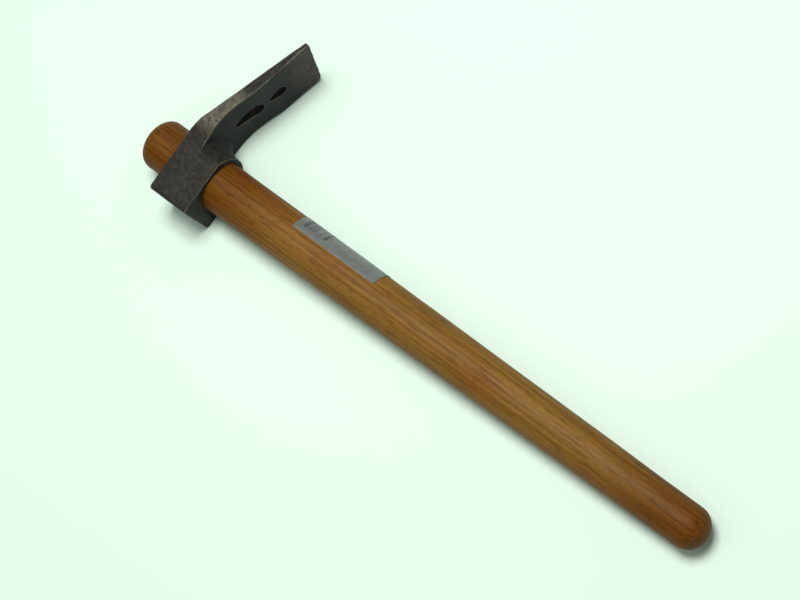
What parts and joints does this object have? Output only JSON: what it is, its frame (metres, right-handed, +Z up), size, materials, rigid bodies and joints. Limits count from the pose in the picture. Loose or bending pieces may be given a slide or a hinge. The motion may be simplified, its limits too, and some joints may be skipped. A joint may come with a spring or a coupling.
{
  "type": "brick hammer",
  "caption": "Bricklayer's adze-style hammer: square striking poll, skewed nail-pulling blade and a long round wooden handle through the eye.",
  "frame": {"origin": "centre of the striking face on the poll", "axes": "+X from the striking face towards the blade, +Y up along the handle towards its domed top, +Z up from the side that the hammer lies on"},
  "size_m": [0.1398, 0.4724, 0.051],
  "materials": {
    "forged_steel": "dark forged steel, lightly lacquered, worn bright at edges",
    "varnished_wood": "satin varnish, straight grain along the handle",
    "label_paper": "coated paper label with plain dark bars"
  },
  "bodies": {
    "root": {"head": "forged_steel", "handle": "varnished_wood", "label": "label_paper"}
  },
  "joints": []
}
